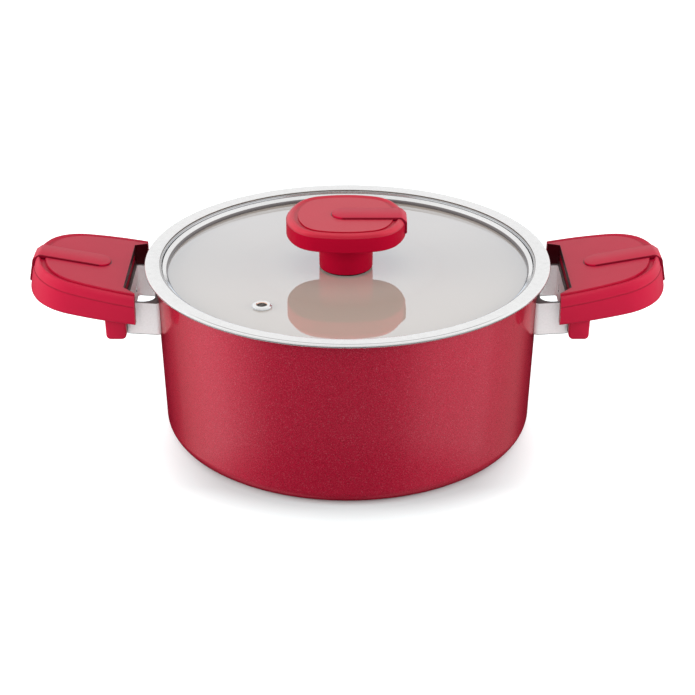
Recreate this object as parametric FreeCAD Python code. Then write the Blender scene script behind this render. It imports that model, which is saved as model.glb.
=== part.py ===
import FreeCAD, Part
import math
import os

# Two-handled stock pot with a glass lid. Millimetres, +Z up, base on z = 0, handles along X.

V = FreeCAD.Vector
Z_AXIS = V(0, 0, 1)
ORIGIN = V(0, 0, 0)

# ---- pot body ----
pot_height = 94.2
mouth_r = 100.0              # inside radius at the rim
wall = 2.6
wall_lean = 2.0              # degrees the wall opens towards the rim
floor_thick = 4.6
outer_corner_r = 8.0
inner_corner_r = 7.0

# ---- induction disc pressed into the underside ----
disc_set_in = 16.0           # disc's edge inside the mouth radius
disc_thick = 1.4
disc_clear = 0.15
disc_groove_r = (26.0, 50.0, 72.0)
disc_groove_width = 2.0
disc_groove_depth = 0.4

# ---- lid rim: formed steel ring round the glass ----
flange_reach = 8.0           # beyond the pot's mouth
flange_start = 0.5           # flat face starts this far beyond the mouth
rim_sheet = 0.85
hem_width = 2.6
hem_depth = 2.4
step_in = 1.5                # foot of the step, inside the mouth
step_drop = 2.3
lip_in = 4.1                 # edge of the sloping ledge, inside the mouth
lip_drop = 1.85              # further fall of the sloping ledge
lip_thick = 1.3
seat_clear = 1.0             # lid spigot to the pot's inside wall
under_lip_reach = 3.4
under_lip_thick = 0.9

# ---- lid glass and steam vent ----
glass_thick = 4.0
glass_edge_clear = 0.2
screw_hole_clear = 1.0
vent_set_in = 32.0           # vent's centre inside the mouth radius
vent_angle = 230.1
vent_bore_r = 2.65
vent_tube_wall = 0.45
vent_flange_r = 5.2
vent_flange_height = 1.6
vent_hole_clear = 0.2
vent_washer_thick = 1.0
vent_washer_r = 4.9
vent_curl_r = 4.0
vent_curl_height = 0.6

# ---- lid knob ----
knob_x = -0.8                # the knob sits a little off the lid's centre
gasket_thick = 0.4
gasket_r = 13.2
stem_low_r = 14.2
stem_top_r = 14.6
stem_height = 19.1
stem_edge_r = 1.0
spigot_r = 10.0
spigot_height = 3.0
fit_clear = 0.15
head_half_x = 31.7
head_half_y = 28.9
head_side_r = 59.0
head_end_r = 37.0
head_corner_r = 18.0
head_wall = 8.1
head_edge_r = 0.8
# border round the top: how far in from the sides, how much further from the ends, how high
head_border = ((0, 0, 0), (0.4, 0, 0.1), (0.8, 0.6, 1.8), (1.5, 1.6, 2.6))
head_groove = ((3.0, 1.8, 1.5), (1.9, 1.7, 2.6))
head_panel_inset = 4.6
head_panel_end_inset = 1.7
head_panel_rise = 2.3           # panel above the crease

# ---- knob fixing ----
screw_r = 2.45
insert_r = 3.6
insert_length = 9.0
insert_rise = 3.0            # insert's lower face above the stem's foot
screw_tip_gap = 1.0
washer_r = 9.0
washer_thick = 1.2
lower_gasket_r = 8.0
lower_gasket_thick = 1.0
pan_head_r = 4.6
pan_head_height = 3.0
pan_recess_r = 1.6
pan_recess_depth = 1.6

# ---- accent strips: one on the knob, one on each grip ----
strip_width = 14.2
strip_sink = 1.3             # how deep a strip is let in below the panel
strip_proud = 0.9
strip_wrap = 0.5             # how far a strip stands off the end it wraps
knob_strip_start = -7.4
knob_strip_shoulder = 2.8
knob_strip_drop = 8.3        # end of the strip below the knob's panel
grip_strip_start = 17.2
grip_strip_shoulder = 3.2
grip_strip_end = 9.0         # end of the strip below the grip's crease

# ---- handle bracket: bent flat strap ----
strap_thick = 2.0
strap_height = 18.2
strap_drop = 24.3            # rim down to the strap's middle, at the pot wall
strap_tilt = 3.5
strap_half_width = 25.4
strap_stand = 15.95          # pot wall to the strap's far face
strap_corner_r = 1.2
heel_r = 2.5
foot_bend_r = 7.0
foot_end_y = 7.0
foot_sink = 0.3              # the feet are ground to the wall's curve

# ---- rivets ----
rivet_y = 13.5
rivet_r = 2.4
rivet_clear = 0.05
rivet_head_r = 3.9
rivet_head_height = 1.3
rivet_dome_r = 5.0
rivet_dome_height = 1.6

# ---- grips ----
grip_set_in = 6.8            # crease corner at the inner end, back from the strap's far face
grip_drop = 11.45            # and down from the rim
grip_tilt = 10.5
grip_half_width = 38.5
grip_side_r = 157.0
grip_tip = 57.4
grip_tip_r = 47.0
grip_corner_r = 28.0
grip_inner_end = 0.4         # the ears stop this far short of grip_x
# border round the top: how far in from the sides, how much further from the tip, how high
grip_border = ((0, 0, 0), (0.4, 0, 0.1), (0.6, 0.1, 3.1), (0.9, 0.3, 4.8), (1.5, 0.6, 5.8))
grip_groove = ((2.9, 0.8, 4.6), (1.9, 0.7, 5.8))
grip_panel_inset = 4.7
grip_panel_end_inset = 1.2
grip_panel_rise = 5.9
grip_depth = 10.2            # crease down to the underside at the inner end
grip_underside_fall = 3.0
grip_edge_r = 1.6
grip_overrun = 6.0           # the outline starts this far before the crease corner
panel_edge_in = 0.9          # the panel's inner edge, back from the strap's far face
notch_half_width = 28.2
ear_gap_half_width = 33.3
pocket_depth = 7.0
pocket_height = 3.6
pocket_roof = 2.7
pocket_half_width = 25.0

# ---- block under the grip that embraces the strap ----
block_near_in = 1.5          # back from the strap's far face
block_far_out = 9.7          # out from the strap's far face
block_half_width = 33.0
block_edge_r = 2.4
block_clear = 0.15
block_taper = 1.5

# ---- grip fixing ----
boss_r = 4.0
boss_length = 9.0
boss_rise = 5.9              # above the strap's middle
grip_screw_r = 2.0
grip_screw_head_r = 3.2
grip_screw_head_height = 3.0
grip_screw_tilt = 13.6
grip_screw_inset = 5.9       # head's end back from the grip's tip
bore_clear = 0.05
grip_bore_clear = 0.3

lean = math.tan(math.radians(wall_lean))
disc_r = mouth_r - disc_set_in
flange_r = mouth_r + flange_reach
flange_inner_r = mouth_r + flange_start
step_r = mouth_r - step_in
lip_r = mouth_r - lip_in
vent_pcr = mouth_r - vent_set_in
strap_mid_z = pot_height - strap_drop
strap_reach = mouth_r + wall - strap_drop * lean + strap_stand
grip_x = strap_reach - grip_set_in
grip_z = pot_height - grip_drop
panel_edge_x = strap_reach - panel_edge_in
block_near_x = strap_reach - block_near_in
block_far_x = strap_reach + block_far_out
boss_z = strap_mid_z + boss_rise
grip_tip_x = grip_x + grip_tip * math.cos(math.radians(grip_tilt))
grip_screw_run = (grip_tip_x - grip_screw_inset - strap_reach) / math.cos(math.radians(grip_screw_tilt))
grip_screw_length = grip_screw_run - grip_screw_head_height


def wall_r(z):
    # outside radius of the pot wall at height z
    return mouth_r + wall - (pot_height - z) * lean


def unit(vector):
    return vector.multiply(1.0 / vector.Length)


def rounded_wire(corners, place):
    # closed wire through (a, b, radius) corners, with a tangent arc at each radius
    joints = []
    for index, (a, b, radius) in enumerate(corners):
        here = V(a, b, 0)
        before = V(*corners[index - 1][:2], 0)
        after = V(*corners[(index + 1) % len(corners)][:2], 0)
        into = unit(before - here)
        out = unit(after - here)
        half = into.getAngle(out) / 2
        run = radius / math.tan(half)
        middle = here + unit(into + out) * (radius / math.sin(half) - radius) if radius else here
        joints.append((here + into * run, middle, here + out * run))
    edges = []
    for index, (start, middle, end) in enumerate(joints):
        if corners[index][2]:
            edges.append(Part.Arc(place(start), place(middle), place(end)).toShape())
        following = joints[(index + 1) % len(joints)][0]
        if (following - end).Length > 1e-6:
            edges.append(Part.LineSegment(place(end), place(following)).toShape())
    return Part.Wire(edges)


def turned(corners):
    # solid of revolution about Z from (radius, z, corner radius) points
    face = Part.Face(rounded_wire(corners, lambda p: V(p.x, 0, p.y)))
    return face.revolve(ORIGIN, Z_AXIS, 360)


def extruded_side(corners, half_width):
    # (x, z, corner radius) profile, extruded to both sides of the XZ plane
    face = Part.Face(rounded_wire(corners, lambda p: V(p.x, -half_width, p.y)))
    return face.extrude(V(0, 2 * half_width, 0))


def extruded_plan(corners, low_z, high_z):
    face = Part.Face(rounded_wire(corners, lambda p: V(p.x, p.y, low_z)))
    return face.extrude(V(0, 0, high_z - low_z))


def disc(radius, low_z, high_z, x=0, y=0):
    return Part.makeCylinder(radius, high_z - low_z, V(x, y, low_z))


def box(low, high):
    size = [high[i] - low[i] for i in range(3)]
    return Part.makeBox(*size, V(*low))


def blend_edges(shape, radius, wanted):
    edges = [edge for edge in shape.Edges if wanted(edge)]
    return shape.makeFillet(radius, edges)


def at_height(z):
    return lambda edge: (abs(edge.CenterOfMass.z - z) < 1e-4
                         and all(abs(v.Z - z) < 1e-4 for v in edge.Vertexes))


def inner_circle(centre_a, radius_a, centre_b, radius_b, radius):
    # centre of the circle that lies inside two larger circles and touches both
    reach_a = radius_a - radius
    reach_b = radius_b - radius
    across = centre_b - centre_a
    gap = across.Length
    along = (reach_a ** 2 - reach_b ** 2 + gap ** 2) / (2 * gap)
    aside = math.sqrt(reach_a ** 2 - along ** 2)
    step = unit(V(across))
    normal = V(-step.y, step.x, 0)
    options = [centre_a + step * along + normal * side for side in (aside, -aside)]
    return max(options, key=lambda p: p.x + p.y)


def quarter_points(side_centre, side_r, end_centre, end_r, corner_r):
    # points on a side arc, a corner arc and an end arc that run into each other
    corner = inner_circle(side_centre, side_r, end_centre, end_r, corner_r)
    first = side_centre + unit(corner - side_centre) * side_r
    last = end_centre + unit(corner - end_centre) * end_r
    middle = corner + unit((first - corner) + (last - corner)) * corner_r
    return first, middle, last


def arc_through(points, z):
    return Part.Arc(*[V(p.x, p.y, z) for p in points]).toShape()


def flip(point, x_sign, y_sign):
    return V(point.x * x_sign, point.y * y_sign, 0)


def head_outline(inset, end_extra, z):
    # four bulging sides joined by four round corners
    side_centre = V(0, head_half_y - head_side_r, 0)
    end_centre = V(head_half_x - end_extra - head_end_r, 0, 0)
    first, middle, last = quarter_points(side_centre, head_side_r - inset, end_centre,
                                         head_end_r - inset, head_corner_r - inset)
    top = V(0, head_half_y - inset, 0)
    right = V(head_half_x - end_extra - inset, 0, 0)
    edges = [arc_through((flip(first, -1, 1), top, first), z),
             arc_through((first, middle, last), z),
             arc_through((last, right, flip(last, 1, -1)), z),
             arc_through((flip(last, 1, -1), flip(middle, 1, -1), flip(first, 1, -1)), z),
             arc_through((flip(first, 1, -1), flip(top, 1, -1), flip(first, -1, -1)), z),
             arc_through((flip(first, -1, -1), flip(middle, -1, -1), flip(last, -1, -1)), z),
             arc_through((flip(last, -1, -1), flip(right, -1, 1), flip(last, -1, 1)), z),
             arc_through((flip(last, -1, 1), flip(middle, -1, 1), flip(first, -1, 1)), z)]
    return Part.Wire(edges)


def grip_outline(inset, tip_extra, z):
    # straight inner end, long side arcs, round corners and a round tip, in the grip's own plane
    side_centre = V(0, grip_half_width - grip_side_r, 0)
    end_centre = V(grip_tip - tip_extra - grip_tip_r, 0, 0)
    side_r = grip_side_r - inset
    first, middle, last = quarter_points(side_centre, side_r, end_centre,
                                         grip_tip_r - inset, grip_corner_r - inset)
    start_x = -grip_overrun
    start = V(start_x, side_centre.y + math.sqrt(side_r ** 2 - start_x ** 2), 0)
    on_side = V(0, grip_half_width - inset, 0)
    tip = V(grip_tip - tip_extra - inset, 0, 0)
    edges = [arc_through((start, on_side, first), z),
             arc_through((first, middle, last), z),
             arc_through((last, tip, flip(last, 1, -1)), z),
             arc_through((flip(last, 1, -1), flip(middle, 1, -1), flip(first, 1, -1)), z),
             arc_through((flip(first, 1, -1), flip(on_side, 1, -1), flip(start, 1, -1)), z),
             Part.LineSegment(V(start_x, -start.y, z), V(start_x, start.y, z)).toShape()]
    return Part.Wire(edges)


def raised(wire, height):
    return Part.Face(wire).extrude(V(0, 0, height))


def rimmed(outline, steps, low_z):
    # solid that closes in over an outline, step by step
    wires = [outline(inset, extra, low_z + rise) for inset, extra, rise in steps]
    return Part.makeLoft(wires, True, True)


def on_grip(shape):
    # from the grip's own plane to its place on the right-hand side of the pot
    shape.rotate(ORIGIN, V(0, 1, 0), -grip_tilt)
    shape.translate(V(grip_x, 0, grip_z))
    return shape


def radial_pin(radius, near, far, y, z):
    # cylinder along the pot's radius through the point at height z and offset y
    angle = math.asin(y / wall_r(z))
    along = V(math.cos(angle), math.sin(angle), 0)
    return Part.makeCylinder(radius, far - near, along * near + V(0, 0, z), along)


def to_side(shape, side):
    placed = shape.copy()
    if side == "left":
        placed.rotate(ORIGIN, Z_AXIS, 180)
    return placed


def save(name, shape):
    if len(shape.Solids) == 1:
        shape = shape.Solids[0]
    print(name, len(shape.Solids), "valid" if shape.isValid() else "NOT VALID", round(shape.Volume))
    shape.exportStep("parts/" + name + ".step")


# ---- pot ----
outer_base_r = wall_r(0)
inner_base_r = wall_r(floor_thick) - wall


def pot_outside():
    return turned([(0, 0, 0), (outer_base_r, 0, outer_corner_r),
                   (wall_r(pot_height), pot_height, 0), (0, pot_height, 0)])


def rivet_shanks(clearance):
    pins = [radial_pin(rivet_r + clearance, mouth_r / 2, strap_reach, sign * rivet_y, strap_mid_z)
            for sign in (1, -1)]
    return Part.makeCompound(pins)


def make_pot():
    cavity = turned([(0, floor_thick, 0), (inner_base_r, floor_thick, inner_corner_r),
                     (mouth_r, pot_height, 0), (0, pot_height, 0)])
    pot = pot_outside().cut(cavity).cut(disc(disc_r + disc_clear, 0, disc_thick))
    for side in ("left", "right"):
        pot = pot.cut(to_side(rivet_shanks(rivet_clear), side))
    return pot


def make_base_disc():
    plate = disc(disc_r, 0, disc_thick)
    for radius in disc_groove_r:
        groove = disc(radius + disc_groove_width, 0, disc_groove_depth)
        plate = plate.cut(groove.cut(disc(radius, 0, disc_groove_depth)))
    return plate


# ---- bracket and rivets, right-hand side ----
foot_line_r = wall_r(strap_mid_z) - foot_sink


def on_wall(y):
    return V(math.sqrt(foot_line_r ** 2 - y ** 2), y, 0)


def strap_plan():
    # inner and outer faces of the strap, met at offset corners
    arm_in = strap_half_width - strap_thick
    far_in = strap_reach - strap_thick
    foot_end = on_wall(foot_end_y)
    foot_heel = on_wall(strap_half_width)
    slope = (foot_end.x - foot_heel.x) / (foot_heel.y - foot_end.y)
    offset = strap_thick * math.sqrt(1 + slope ** 2)
    face_x = foot_end.x + offset - slope * (arm_in - foot_end_y)
    outer_corner = strap_corner_r + strap_thick
    half = [(strap_reach, strap_half_width, outer_corner),
            (foot_heel.x, strap_half_width, heel_r),
            (foot_end.x, foot_end_y, 0),
            (foot_end.x + offset, foot_end_y, 0),
            (face_x, arm_in, foot_bend_r),
            (far_in, arm_in, strap_corner_r)]
    return half + [(x, -y, radius) for x, y, radius in reversed(half)]


def strap_slab(grow):
    # the tilted band between the strap's lower and upper edges
    half = strap_height / 2 + grow
    slab = box((mouth_r / 2, -mouth_r, strap_mid_z - half), (2 * mouth_r, mouth_r, strap_mid_z + half))
    slab.rotate(V(mouth_r, 0, strap_mid_z), V(0, 1, 0), -strap_tilt)
    return slab


def make_bracket():
    strap = extruded_plan(strap_plan(), 0, pot_height).common(strap_slab(0))
    return strap.cut(pot_outside()).cut(rivet_shanks(rivet_clear))


def make_rivets():
    solids = []
    foot_face = foot_line_r + strap_thick
    inside_face = wall_r(strap_mid_z) - wall
    for sign in (1, -1):
        y = sign * rivet_y
        shank = radial_pin(rivet_r, inside_face - rivet_dome_height, foot_face + rivet_head_height / 2,
                           y, strap_mid_z)
        head = radial_pin(rivet_head_r, foot_face - 1, foot_face + rivet_head_height, y, strap_mid_z)
        dome = radial_pin(rivet_dome_r, inside_face - rivet_dome_height, inside_face + 1, y, strap_mid_z)
        head = head.cut(extruded_plan(strap_plan(), 0, pot_height)).cut(pot_outside())
        cavity_wall = pot_outside().cut(turned([(0, floor_thick, 0), (inner_base_r, floor_thick, 0),
                                                (mouth_r, pot_height, 0), (0, pot_height, 0)]))
        dome = dome.cut(cavity_wall)
        solids.append(shank.fuse([head, dome]).removeSplitter())
    return Part.makeCompound(solids)


# ---- grip and its fixing, right-hand side ----


def along_screw(radius, start, end):
    # cylinder on the grip screw's axis, measured from the strap's far face
    axis = V(math.cos(math.radians(grip_screw_tilt)), 0, math.sin(math.radians(grip_screw_tilt)))
    return Part.makeCylinder(radius, end - start, V(strap_reach, 0, boss_z) + axis * start, axis)


def make_boss():
    beyond_strap = box((strap_reach, -boss_r * 2, 0), (2 * strap_reach, boss_r * 2, pot_height))
    return along_screw(boss_r, -boss_r, boss_length).common(beyond_strap).cut(
        along_screw(grip_screw_r + bore_clear, 1, boss_length))


def make_grip_screw():
    head_start = grip_screw_length
    head = along_screw(grip_screw_head_r, head_start, head_start + grip_screw_head_height)
    socket = along_screw(grip_screw_head_r / 2, head_start + grip_screw_head_height / 2,
                         head_start + grip_screw_head_height)
    return along_screw(grip_screw_r, 2, head_start).fuse(head).cut(socket).removeSplitter()


def wrapped_strip(start_x, panel_z, end_x, end_z, shoulder):
    # strip let into a panel, running over its end and down the end wall
    top_z = panel_z + strip_proud
    low_z = panel_z - strip_sink
    far_x = end_x + strip_wrap
    near_x = end_x - strip_sink
    soft = shoulder * 0.8
    tight = shoulder * 0.4
    profile = [(start_x, top_z, 0), (far_x - shoulder, top_z, soft), (far_x, top_z - shoulder, soft),
               (far_x, end_z, 0.8), (near_x, end_z, 0), (near_x, low_z - shoulder, tight),
               (near_x - shoulder, low_z, tight), (start_x, low_z, 0)]
    half = strip_width / 2
    round_end = half - 0.1
    plan = [(start_x, -half, round_end), (2 * far_x, -half, 0),
            (2 * far_x, half, 0), (start_x, half, round_end)]
    return extruded_side(profile, half).common(extruded_plan(plan, end_z - 1, top_z + 1))


def make_grip_strip():
    return on_grip(wrapped_strip(grip_strip_start, grip_panel_rise, grip_tip, -grip_strip_end,
                                 grip_strip_shoulder))


def make_grip():
    start_x = -grip_overrun
    inner_end = grip_x - grip_inner_end
    beyond = inner_end - grip_overrun
    fall = math.tan(math.radians(grip_underside_fall))
    deepest = grip_depth + fall * grip_tip
    hood = raised(grip_outline(0, 0, -deepest), deepest)
    under = extruded_side([(start_x, -grip_depth - fall * start_x, 0), (start_x, -2 * deepest, 0),
                           (2 * grip_tip, -2 * deepest, 0),
                           (2 * grip_tip, -grip_depth - 2 * fall * grip_tip, 0)], 2 * grip_half_width)
    hood = hood.cut(under)
    low_edges = [edge for edge in hood.Edges
                 if edge.CenterOfMass.z < -grip_depth + 1 and edge.CenterOfMass.x > start_x + 1]
    hood = hood.makeFillet(grip_edge_r, low_edges)
    border = rimmed(grip_outline, grip_border, 0).cut(rimmed(grip_outline, grip_groove, 0))
    panel = raised(grip_outline(grip_panel_inset, grip_panel_end_inset, 0), grip_panel_rise)
    grip = on_grip(hood.fuse([border, panel]))
    grip = grip.common(box((inner_end, -mouth_r, 0), (2 * grip_x, mouth_r, 2 * pot_height)))
    notch_corners = [(panel_edge_x, -notch_half_width, 0), (panel_edge_x, notch_half_width, 0),
                     (inner_end, ear_gap_half_width, 0), (beyond, ear_gap_half_width, 0),
                     (beyond, -ear_gap_half_width, 0), (inner_end, -ear_gap_half_width, 0)]
    grip = grip.cut(extruded_plan(notch_corners, 0, 2 * pot_height))
    return grip.fuse(make_block()).removeSplitter()


def strap_low_z(x):
    return strap_mid_z - strap_height / 2 + (x - mouth_r) * math.tan(math.radians(strap_tilt))


def make_block():
    low_z = strap_low_z(block_near_x)
    inside_grip = grip_z + (block_near_x - grip_x) * math.tan(math.radians(grip_tilt))
    taper = math.tan(math.radians(block_taper)) * (inside_grip - low_z)
    profile = [(block_near_x, inside_grip, 0), (block_near_x, low_z, block_edge_r),
               (block_far_x - taper, low_z, block_edge_r), (block_far_x, inside_grip, 0)]
    return extruded_side(profile, block_half_width)


def fit_grip(grip, strip):
    # room for the strap, the end pocket, the boss, the screw and the strip
    clear = block_clear
    strap_top = strap_low_z(strap_reach) + strap_height
    seat = box((0, -strap_half_width - clear, 0),
               (strap_reach + clear, strap_half_width + clear, strap_top + clear))
    pocket_top = grip_z + grip_panel_rise - pocket_roof
    pocket = box((0, -pocket_half_width, pocket_top - pocket_height),
                 (panel_edge_x + pocket_depth, pocket_half_width, pocket_top))
    cuts = [seat, pocket, strip.copy(),
            along_screw(boss_r + grip_bore_clear, -boss_r, boss_length + grip_bore_clear),
            along_screw(grip_screw_r + grip_bore_clear, 0, grip_screw_length),
            along_screw(grip_screw_head_r + grip_bore_clear, grip_screw_length, 2 * grip_screw_length)]
    for piece in cuts:
        grip = grip.cut(piece)
    return grip.removeSplitter()


# ---- lid ----
flange_top = pot_height + rim_sheet
ledge_z = flange_top - step_drop
lip_z = ledge_z - lip_drop
glass_top = lip_z - lip_thick
glass_bottom = glass_top - glass_thick
spigot_wall_r = mouth_r - seat_clear
channel_r = spigot_wall_r - rim_sheet
glass_r = channel_r - glass_edge_clear


def make_lid_rim():
    under_z = glass_bottom - under_lip_thick
    inside_r = channel_r - under_lip_reach
    hem_r = hem_depth / 2 - 0.05
    return turned([(flange_inner_r, flange_top, 1.2), (flange_r, flange_top, hem_r),
                   (flange_r, flange_top - hem_depth, hem_r),
                   (flange_r - hem_width, flange_top - hem_depth, 0),
                   (flange_r - hem_width, pot_height, 0),
                   (spigot_wall_r, pot_height, 0), (spigot_wall_r, under_z, 0.6),
                   (inside_r, under_z, 0), (inside_r, glass_bottom, 0), (channel_r, glass_bottom, 0),
                   (channel_r, glass_top, 0), (lip_r, glass_top, 0), (lip_r, lip_z, 0),
                   (step_r, ledge_z, 1.0)])


def vent_centre():
    angle = math.radians(vent_angle)
    return vent_pcr * math.cos(angle), vent_pcr * math.sin(angle)


def make_glass():
    x, y = vent_centre()
    vent_hole = disc(vent_bore_r + vent_tube_wall + vent_hole_clear, 0, pot_height, x, y)
    pane = disc(glass_r, glass_bottom, glass_top)
    return pane.cut(disc(screw_r + screw_hole_clear, 0, pot_height, knob_x)).cut(vent_hole)


def make_vent_eyelet():
    tube_r = vent_bore_r + vent_tube_wall
    low_z = glass_bottom - vent_washer_thick
    curl_z = low_z - vent_curl_height
    eyelet = turned([(vent_bore_r, curl_z, 0.2), (vent_curl_r, curl_z, 0.2), (vent_curl_r, low_z, 0.2),
                     (tube_r, low_z, 0), (tube_r, glass_top, 0),
                     (vent_flange_r, glass_top, 0.3), (vent_flange_r, glass_top + vent_flange_height, 1.2),
                     (vent_bore_r, glass_top + vent_flange_height, 0.6)])
    eyelet.translate(V(*vent_centre(), 0))
    return eyelet


def make_vent_washer():
    hole_r = vent_bore_r + vent_tube_wall + vent_hole_clear
    low_z = glass_bottom - vent_washer_thick
    washer = turned([(hole_r, low_z, 0), (vent_washer_r, low_z, 0.3),
                     (vent_washer_r, glass_bottom, 0), (hole_r, glass_bottom, 0)])
    washer.translate(V(*vent_centre(), 0))
    return washer


# ---- knob and its fixing ----
stem_foot = glass_top + gasket_thick
head_foot = stem_foot + stem_height
head_crease = head_foot + head_wall
head_panel_z = head_crease + head_panel_rise
insert_foot = stem_foot + insert_rise
screw_tip = insert_foot + insert_length - screw_tip_gap
washer_top = glass_bottom - lower_gasket_thick
washer_foot = washer_top - washer_thick


def make_knob_head():
    head = raised(head_outline(0, 0, head_foot), head_wall)
    head = blend_edges(head, head_edge_r, at_height(head_foot))
    crown = rimmed(head_outline, head_border, head_crease)
    crown = crown.cut(rimmed(head_outline, head_groove, head_crease))
    panel = raised(head_outline(head_panel_inset, head_panel_end_inset, head_crease), head_panel_rise)
    socket = disc(spigot_r + fit_clear, head_foot, head_foot + spigot_height + fit_clear)
    return head.fuse([crown, panel]).cut(socket).cut(make_knob_strip()).removeSplitter()


def make_knob_strip():
    return wrapped_strip(knob_strip_start, head_panel_z, head_half_x, head_panel_z - knob_strip_drop,
                         knob_strip_shoulder)


def make_knob_stem():
    stem = turned([(0, stem_foot, 0), (stem_low_r, stem_foot, stem_edge_r), (stem_top_r, head_foot, 0),
                   (spigot_r, head_foot, 0), (spigot_r, head_foot + spigot_height, 0.4),
                   (0, head_foot + spigot_height, 0)])
    bore = disc(screw_r + screw_hole_clear / 2, 0, screw_tip + screw_tip_gap)
    return stem.cut(disc(insert_r + bore_clear, insert_foot, insert_foot + insert_length)).cut(bore)


def make_knob_insert():
    bush = disc(insert_r, insert_foot, insert_foot + insert_length)
    return bush.cut(disc(screw_r + bore_clear, 0, insert_foot + insert_length))


def make_knob_screw():
    head_low = washer_foot - pan_head_height
    head = turned([(0, head_low, 0), (pan_head_r, head_low, 1.2), (pan_head_r, washer_foot, 0),
                   (0, washer_foot, 0)])
    recess = Part.makeCompound([
        box((-pan_recess_r, -0.5, head_low), (pan_recess_r, 0.5, head_low + pan_recess_depth)),
        box((-0.5, -pan_recess_r, head_low), (0.5, pan_recess_r, head_low + pan_recess_depth))])
    return head.fuse(disc(screw_r, washer_foot, screw_tip)).cut(recess).removeSplitter()


def washer_ring(outer_r, low_z, high_z):
    return disc(outer_r, low_z, high_z).cut(disc(screw_r + screw_hole_clear, low_z, high_z))


os.makedirs("parts", exist_ok=True)
save("pot_body", make_pot())
save("base_disc", make_base_disc())

strip_shape = make_grip_strip()
right_side = {"bracket": make_bracket(), "bracket_rivets": make_rivets(), "bracket_boss": make_boss(),
              "grip": fit_grip(make_grip(), strip_shape), "grip_strip": strip_shape,
              "grip_screw": make_grip_screw()}
for side in ("left", "right"):
    for name, shape in right_side.items():
        save(side + "_" + name, to_side(shape, side))

save("lid_rim", make_lid_rim())
save("lid_glass", make_glass())
save("vent_eyelet", make_vent_eyelet())
save("vent_washer", make_vent_washer())
knob = {"head": make_knob_head(), "strip": make_knob_strip(), "stem": make_knob_stem(),
        "gasket": washer_ring(gasket_r, glass_top, stem_foot), "insert": make_knob_insert(),
        "lower_gasket": washer_ring(lower_gasket_r, washer_top, glass_bottom),
        "washer": washer_ring(washer_r, washer_foot, washer_top), "screw": make_knob_screw()}
for name, shape in knob.items():
    shape.translate(V(knob_x, 0, 0))
    save("knob_" + name, shape)
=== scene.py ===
import bpy
import bmesh
import math
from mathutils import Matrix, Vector


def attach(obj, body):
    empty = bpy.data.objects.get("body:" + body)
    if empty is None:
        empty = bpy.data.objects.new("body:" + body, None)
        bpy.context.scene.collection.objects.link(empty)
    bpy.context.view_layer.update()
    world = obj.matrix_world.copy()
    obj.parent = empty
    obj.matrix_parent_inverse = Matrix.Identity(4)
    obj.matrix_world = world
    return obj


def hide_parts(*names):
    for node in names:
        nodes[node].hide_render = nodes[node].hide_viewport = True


# the scene is in metres, and the measures below are in millimetres unless a comment says otherwise
mm = 0.001
weld = {"close": 1e-6, "closer": 1e-7}
touch = 0.01
sharpFrom = 35
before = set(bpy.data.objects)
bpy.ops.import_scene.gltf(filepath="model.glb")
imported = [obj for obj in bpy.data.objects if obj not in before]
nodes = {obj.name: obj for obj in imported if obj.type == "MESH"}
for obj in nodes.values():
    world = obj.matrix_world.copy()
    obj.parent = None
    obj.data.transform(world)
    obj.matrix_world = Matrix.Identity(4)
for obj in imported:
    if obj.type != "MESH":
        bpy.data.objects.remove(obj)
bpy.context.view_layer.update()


# small helpers for modelling

def deselectAll():
    if bpy.context.mode != "OBJECT":
        bpy.ops.object.mode_set(mode="OBJECT")
    bpy.ops.object.select_all(action="DESELECT")


def activate(piece):
    deselectAll()
    piece.select_set(True)
    bpy.context.view_layer.objects.active = piece


def edit(piece):
    activate(piece)
    bpy.ops.object.mode_set(mode="EDIT")
    bpy.ops.mesh.select_mode(type="VERT")


def pick(piece, domain, wanted):
    # selects edges by their two ends, or faces by middle and normal
    bpy.ops.mesh.select_mode(type=domain)
    bpy.ops.mesh.select_all(action="DESELECT")
    mesh = bmesh.from_edit_mesh(piece.data)
    mesh.normal_update()
    if domain == "EDGE":
        for edge in mesh.edges:
            edge.select_set(bool(wanted(edge.verts[0].co / mm, edge.verts[1].co / mm)))
    else:
        for face in mesh.faces:
            face.select_set(bool(wanted(face.calc_center_median() / mm, face.normal)))
    bmesh.update_edit_mesh(piece.data)


def startPoint(name, x, y, z):
    # a small plane merged to one vertex: the start of a drawn outline
    deselectAll()
    bpy.ops.mesh.primitive_plane_add(size=0.01)
    piece = bpy.context.active_object
    piece.name = name
    piece.data.name = name
    edit(piece)
    bpy.ops.mesh.select_all(action="SELECT")
    bpy.ops.mesh.merge(type="CENTER")
    bpy.ops.transform.translate(value=(x * mm, y * mm, z * mm))
    return piece


def lineBy(x, y, z):
    bpy.ops.mesh.extrude_vertices_move(TRANSFORM_OT_translate={"value": (x * mm, y * mm, z * mm)})


def arcBy(centre, axis, degrees, steps):
    # spin turns clockwise for a positive angle, so the angle is handed over negated
    bpy.ops.mesh.spin(steps=steps, angle=-math.radians(degrees), dupli=False,
                      center=[c * mm for c in centre], axis=axis)


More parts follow.
